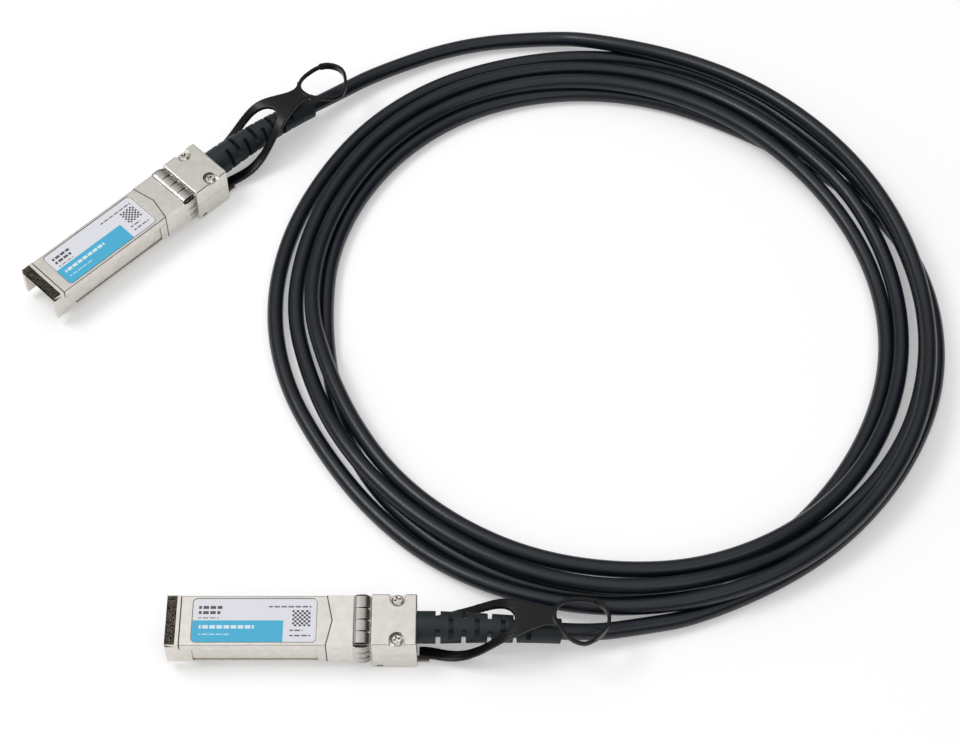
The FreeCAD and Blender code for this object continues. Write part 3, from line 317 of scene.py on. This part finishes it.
# one finish for each material slot of the record
MATERIALS = {
    "die_cast": metal("nickel_die_casting", *NICKEL, 0.30, 0.14),
    "spring_steel": metal("spring_sheet", *SPRING, 0.24, 0.04, 0.05 * MM),
    "slide_steel": metal("plated_sheet", (0.68, 0.65, 0.61), (0.76, 0.73, 0.69), 0.28, 0.06, 0.08 * MM),
    "screw_steel": metal("screw_plating", (0.70, 0.66, 0.61), (0.78, 0.74, 0.69), 0.24, 0.05, 0.08 * MM),
    "gold_plate": metal("gold_plating", (0.80, 0.58, 0.24), (0.88, 0.68, 0.32), 0.25, 0.03, 0.02 * MM),
    "ferrule_copper": metal("copper_ferrule", (0.62, 0.36, 0.22), (0.72, 0.45, 0.28),
                            0.32, 0.05, 0.05 * MM),
    "board": polymer("solder_mask", (0.012, 0.07, 0.03), (0.02, 0.10, 0.045), 0.35, 0.05, 3000.0),
    "chip_resin": polymer("chip_resin", (0.012, 0.012, 0.013), (0.02, 0.02, 0.022), 0.5, 0.10, 6000.0),
    "wire_insulation": polymer("wire_insulation", (0.60, 0.60, 0.58), (0.68, 0.68, 0.66),
                               0.45, 0.02, 2000.0),
    "jacket": polymer("cable_jacket", (0.003, 0.0055, 0.010), (0.0055, 0.0085, 0.014),
                      0.31, 0.05, 2600.0, 0.42),
    "boot_rubber": polymer("boot_rubber", (0.011, 0.018, 0.021), (0.017, 0.025, 0.029),
                           0.52, 0.20, 3600.0, 0.35),
    "tab_plastic": polymer("tab_plastic", (0.003, 0.003, 0.0035), (0.005, 0.0045, 0.005),
                           0.26, 0.05, 3000.0, 0.24, 0.25 * MM),
    "label_film": polymer("label_film", (0.80, 0.80, 0.86), (0.84, 0.84, 0.89), 0.35, 0.01, 1500.0),
}

# how far the edges of each kind of piece are rounded
EDGE_ROUNDS = {"strain_relief": 0.16 * MM, "base_shell": 0.07 * MM,
               "top_cover": 0.07 * MM, "latch_slide": 0.08 * MM}
# faces that meet at less than this are shaded as one, and edges sharper than the other are rounded
SMOOTH_BELOW = math.radians(28)
ROUND_ABOVE = math.radians(35)


def dress_cad_nodes():
    """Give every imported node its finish, with smooth curved faces and small rounds on its edges."""
    slots = {part["node"]: part["material_slot"] for part in frame["record"]["subparts"]}
    special = {"base_shell_" + side: nose_metal(side) for side in SIDES}
    for side in SIDES:
        special["label_" + side] = label_print(side)
        special["top_cover_" + side] = metal("nickel_cover_" + side, *NICKEL, 0.30, 0.14, side=side)
        special["emi_collar_" + side] = metal("spring_collar_" + side, *SPRING, 0.24, 0.04, 0.05 * MM,
                                              side=side, finger_shade=0.75)
    for name, item in frame["nodes"].items():
        item.data.materials.clear()
        item.data.materials.append(special.get(name, MATERIALS[slots[name]]))
        item.data.polygons.foreach_set("use_smooth", [True] * len(item.data.polygons))
        item.data.set_sharp_from_angle(angle=SMOOTH_BELOW)
        radius = next((width for word, width in EDGE_ROUNDS.items() if name.startswith(word)), None)
        if radius:
            soften(item, radius)
        if name.startswith("pull_tab"):
            mould_round(item)


def mould_round(item):
    """Rounded edges and a smooth ring, as on a soft moulding."""
    skin = item.modifiers.new("mould_skin", "REMESH")
    skin.mode = "VOXEL"
    skin.voxel_size = 0.15 * MM
    skin.use_smooth_shade = True
    flow = item.modifiers.new("mould_flow", "SMOOTH")
    flow.factor = 0.5
    flow.iterations = 8


def soften(item, radius):
    """Small rounds on a hard piece's sharp edges."""
    bevel = item.modifiers.new("edge_round", "BEVEL")
    bevel.width = radius
    bevel.segments = 3
    bevel.limit_method = "ANGLE"
    bevel.angle_limit = ROUND_ABOVE
    bevel.use_clamp_overlap = True
    bevel.harden_normals = False


# ---------------------------------------------------------------- the cable

COIL_CENTRE = (77.7, 13.46)
# the height of the cable's middle where it lies on the table, in mm
FLOOR_HEIGHT = 2.1
# each turn, clockwise from the back: compass angle, radius and height of the cable's middle, in mm;
# the first keys came from a fit to strands traced in the photograph and were then corrected
COIL_TURNS = (
    ((90, 91.7, 5.4), (75, 87.7, 6.5), (60, 84.9, 7.8), (45, 82.6, 8.9), (25, 81.2, 10.5), (0, 83.1, 9.2),
     (350, 84.4, 9.2), (340, 86.2, 9.3), (330, 87.9, 9.2), (315, 89.5, 7.7), (300, 90.5, 6.4),
     (285, 90.7, 6.2), (270, 89.8, 4.6), (255, 89.0, 4.2), (240, 87.4, 2.6), (222, 85.0, 2.1),
     (208, 84.4, 2.1), (195, 86.0, 2.1), (180, 87.3, 2.1), (150, 88.2, 2.1), (135, 89.8, 2.1),
     (120, 90.2, 2.1), (105, 89.3, 2.1)),
    ((90, 88.8, 2.1), (75, 87.9, 2.2), (60, 85.4, 2.7), (45, 81.9, 4.0), (28, 81.4, 6.4), (0, 83.7, 5.0),
     (340, 85.1, 5.4), (330, 85.9, 5.5), (315, 86.0, 5.1), (300, 85.3, 3.9), (290, 85.8, 5.9),
     (280, 85.5, 6.2), (270, 85.0, 6.2), (255, 83.4, 6.1), (240, 81.3, 5.7), (228, 80.5, 5.9),
     (215, 80.1, 6.1), (205, 79.8, 5.0), (195, 79.7, 3.3), (180, 81.9, 2.9), (165, 82.4, 3.4),
     (150, 83.5, 3.7), (135, 84.8, 4.0), (120, 85.2, 4.2), (105, 84.4, 4.0)),
    ((90, 83.4, 3.5), (75, 81.3, 3.7), (60, 78.6, 4.6), (45, 75.9, 6.3), (30, 76.4, 6.0), (20, 76.6, 5.0),
     (0, 77.4, 4.0), (330, 79.6, 4.0), (320, 80.6, 4.6), (310, 81.7, 5.6), (300, 82.1, 6.3),
     (290, 81.6, 5.6), (280, 80.8, 5.2), (270, 79.8, 5.8), (255, 78.9, 6.3), (240, 77.4, 6.3),
     (225, 76.2, 6.2), (210, 74.8, 6.1), (195, 74.9, 6.1), (180, 77.4, 5.1), (165, 78.2, 5.0),
     (150, 79.0, 4.8), (135, 80.1, 4.4), (120, 80.6, 4.0), (105, 78.9, 4.9)),
    ((90, 76.5, 6.0), (75, 74.2, 6.3), (60, 72.4, 6.3), (45, 71.5, 5.2), (30, 71.7, 3.6), (15, 72.5, 2.7),
     (0, 73.7, 2.1), (330, 76.0, 2.1), (320, 77.3, 2.1), (310, 79.2, 2.1), (300, 81.5, 2.1),
     (290, 84.0, 2.1), (280, 85.2, 2.1), (270, 85.4, 2.1), (255, 84.9, 2.1), (240, 83.1, 2.1),
     (228, 81.3, 2.1), (215, 79.0, 2.1), (205, 76.4, 2.1), (195, 74.1, 2.1), (185, 73.2, 2.1),
     (165, 75.0, 2.1), (150, 75.9, 2.1), (135, 76.8, 2.1), (120, 77.2, 2.1), (105, 76.4, 2.1)),
    ((90, 75.3, 2.1), (75, 74.1, 2.1), (60, 73.1, 2.1), (50, 73.9, 2.1), (40, 76.2, 2.1), (30, 79.7, 2.1),
     (22, 82.6, 2.1), (14, 84.8, 2.1), (0, 86.8, 2.1), (350, 87.8, 2.1), (338, 88.5, 2.1),
     (325, 88.4, 2.1), (300, 90.3, 2.1)),
)
COIL_STEP = 15.0
# the straight-out exit and the free run of each lead, in mm
LEAD_B = ((-2.71, 81.34, 5.4), (4.2, 86.7, 4.4), (15.5, 95.6, 3.2), (39.5, 107.0, 2.4), (65.0, 109.3, 2.6))
LEAD_A = ((98.0, -77.8, 2.2), (82.0, -81.2, 3.2), (72.2, -83.34, 4.5), (64.24, -83.34, 5.4))


def along_keys(keys, place, column):
    """A smooth value between the keys that surround a place on the path."""
    after = next(i for i, key in enumerate(keys) if key[0] >= place and i > 0)
    first, second = keys[after - 1], keys[after]
    span = second[0] - first[0]

    def slope(index):
        low, high = max(index - 1, 0), min(index + 1, len(keys) - 1)
        return (keys[high][column] - keys[low][column]) / (keys[high][0] - keys[low][0])

    t = (place - first[0]) / span
    return ((2 * t**3 - 3 * t**2 + 1) * first[column] + (t**3 - 2 * t**2 + t) * span * slope(after - 1)
            + (3 * t**2 - 2 * t**3) * second[column] + (t**3 - t**2) * span * slope(after))


def coil_points():
    """Control points of all the turns, one every COIL_STEP degrees; a B-spline cuts inside them."""
    keys = [(360 * turn + (90 - angle) % 360, radius, height)
            for turn, stations in enumerate(COIL_TURNS) for angle, radius, height in stations]
    count = round((keys[-1][0] - keys[0][0]) / COIL_STEP)
    grow = 4 / (3 + math.cos(math.radians(COIL_STEP)))
    points = []
    for index in range(count + 1):
        place = keys[0][0] + index * COIL_STEP
        radius = grow * along_keys(keys, place, 1)
        height = max(along_keys(keys, place, 2), FLOOR_HEIGHT)
        angle = math.radians(90 - place)
        points.append((COIL_CENTRE[0] + radius * math.cos(angle),
                       COIL_CENTRE[1] + radius * math.sin(angle), height))
    return points


def cable():
    """The free cable as one spline from the second plug's boot, round the coil, to the first plug's."""
    route = [Vector(point) * MM for point in (*LEAD_B, *coil_points(), *LEAD_A)]
    curve = bpy.data.curves.new("cable", "CURVE")
    curve.dimensions = "3D"
    curve.bevel_depth = CABLE_DIAMETER / 2
    curve.bevel_resolution = 7
    curve.resolution_u = 10
    spline = curve.splines.new("NURBS")
    spline.points.add(len(route) - 1)
    for point, place in zip(spline.points, route):
        point.co = (*place, 1.0)
    spline.order_u = 3
    spline.use_endpoint_u = True
    spline.use_smooth = True
    curve.materials.append(MATERIALS["jacket"])
    item = bpy.data.objects.new("cable", curve)
    bpy.context.scene.collection.objects.link(item)
    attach(item, "root")
    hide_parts("cable_coil", "cable_lead_a", "cable_lead_b")


# ---------------------------------------------------------------- stage, light and camera


# the table's own tone, and the white added to it for the eye and for reflections
TABLE_TONE = (0.80, 0.80, 0.80, 1.0)
TABLE_GLOW = 0.30
# how bright the studio is from the horizon (0) to overhead (1), and how it fades to the right:
# direction from and to, then share of the brightness from and to
SKY = ((0.0, 0.20), (0.5, 0.40), (0.78, 0.76), (0.88, 1.12), (1.0, 1.05))
SKY_FADE = (0.05, 0.75, 1.0, 0.25)
# each lamp's name, place, aim and size in metres, and its power in watts
LAMPS = (
    ("key", (-0.62, 0.08, 1.05), (0.05, 0.0, 0.0), (0.55, 0.42), 5.1),
    ("fill", (0.55, -0.75, 0.9), (0.05, 0.0, 0.0), (0.7, 0.5), 1.2),
)
# the point that the camera looks at, in mm, and how far from it the camera stands, in metres
VIEW_TARGET = (44.71, -3.92, 0.0)
VIEW_DISTANCE = 0.640
VIEW_ELEVATION = math.radians(56.0)
VIEW_LENS = 91.8
SENSOR_WIDTH = 36.0


def floor():
    """A white table whose own white is added where the eye and reflections see it, under soft shadows."""
    shade = Shade("white_table")
    shade.set(Base_Color=TABLE_TONE, Roughness=0.9, Specular_IOR_Level=0.0)
    path = shade.add("ShaderNodeLightPath").outputs
    seen = shade.math("MAXIMUM", path["Is Camera Ray"], path["Is Glossy Ray"])
    glow = shade.add("ShaderNodeEmission")
    shade.join(shade.ramp(seen, 0.0, TABLE_GLOW), glow.inputs["Strength"])
    both = shade.add("ShaderNodeAddShader")
    shade.join(shade.surface.outputs[0], both.inputs[0])
    shade.join(glow.outputs[0], both.inputs[1])
    shade.join(both.outputs[0], shade.output.inputs["Surface"])
    bpy.ops.mesh.primitive_plane_add(size=4.0, location=(0.04, 0.0, -0.0002))
    table = bpy.context.object
    table.name = "table_top"
    table.data.materials.append(shade.material)


def area_light(name, place, aim, size, power):
    """A soft rectangular lamp that shines at a point."""
    lamp = bpy.data.lights.new(name, "AREA")
    lamp.shape = "RECTANGLE"
    lamp.size, lamp.size_y = size
    lamp.energy = power
    item = bpy.data.objects.new(name, lamp)
    item.location = place
    item.rotation_euler = (Vector(aim) - Vector(place)).to_track_quat("-Z", "Y").to_euler()
    bpy.context.scene.collection.objects.link(item)


def world():
    """A studio that brightens overhead and falls off to the sides; the eye sees it white."""
    surroundings = bpy.data.worlds.new("studio")
    surroundings.use_nodes = True
    tree = surroundings.node_tree
    split = tree.nodes.new("ShaderNodeSeparateXYZ")
    tree.links.new(tree.nodes.new("ShaderNodeTexCoord").outputs["Generated"], split.inputs[0])
    fall = tree.nodes.new("ShaderNodeValToRGB")
    stops = fall.color_ramp.elements
    stops[0].position, stops[1].position = 0.0, 1.0
    for place, level in SKY:
        stop = stops[0] if place == 0.0 else stops[-1] if place == 1.0 else stops.new(place)
        stop.color = (level, level, level, 1.0)
    tree.links.new(split.outputs["Z"], fall.inputs["Fac"])
    dim = tree.nodes.new("ShaderNodeMapRange")
    for key, amount in zip(("From Min", "From Max", "To Min", "To Max"), SKY_FADE):
        dim.inputs[key].default_value = amount
    tree.links.new(split.outputs["X"], dim.inputs["Value"])
    sky = tree.nodes.new("ShaderNodeVectorMath")
    sky.operation = "SCALE"
    tree.links.new(fall.outputs["Color"], sky.inputs[0])
    tree.links.new(dim.outputs["Result"], sky.inputs["Scale"])
    seen = tree.nodes.new("ShaderNodeMix")
    seen.data_type = "RGBA"
    tree.links.new(tree.nodes.new("ShaderNodeLightPath").outputs["Is Camera Ray"], seen.inputs[0])
    tree.links.new(sky.outputs[0], seen.inputs[6])
    seen.inputs[7].default_value = (1.0, 1.0, 1.0, 1.0)
    tree.links.new(seen.outputs[2], tree.nodes["Background"].inputs["Color"])
    bpy.context.scene.world = surroundings


def camera():
    """The view over the plugs and the coil, from the front and well above the table."""
    lens = bpy.data.cameras.new("camera")
    lens.lens = VIEW_LENS
    lens.sensor_width = SENSOR_WIDTH
    lens.clip_start = 0.01
    away = Vector((0.0, -math.cos(VIEW_ELEVATION), math.sin(VIEW_ELEVATION)))
    item = bpy.data.objects.new("camera", lens)
    item.location = Vector(VIEW_TARGET) * MM + VIEW_DISTANCE * away
    item.rotation_euler = (math.pi / 2 - VIEW_ELEVATION, 0.0, 0.0)
    bpy.context.scene.collection.objects.link(item)
    bpy.context.scene.camera = item


dress_cad_nodes()
cable()
floor()
world()
for lamp_row in LAMPS:
    area_light(*lamp_row)
camera()
bpy.context.scene.view_settings.view_transform = "Standard"
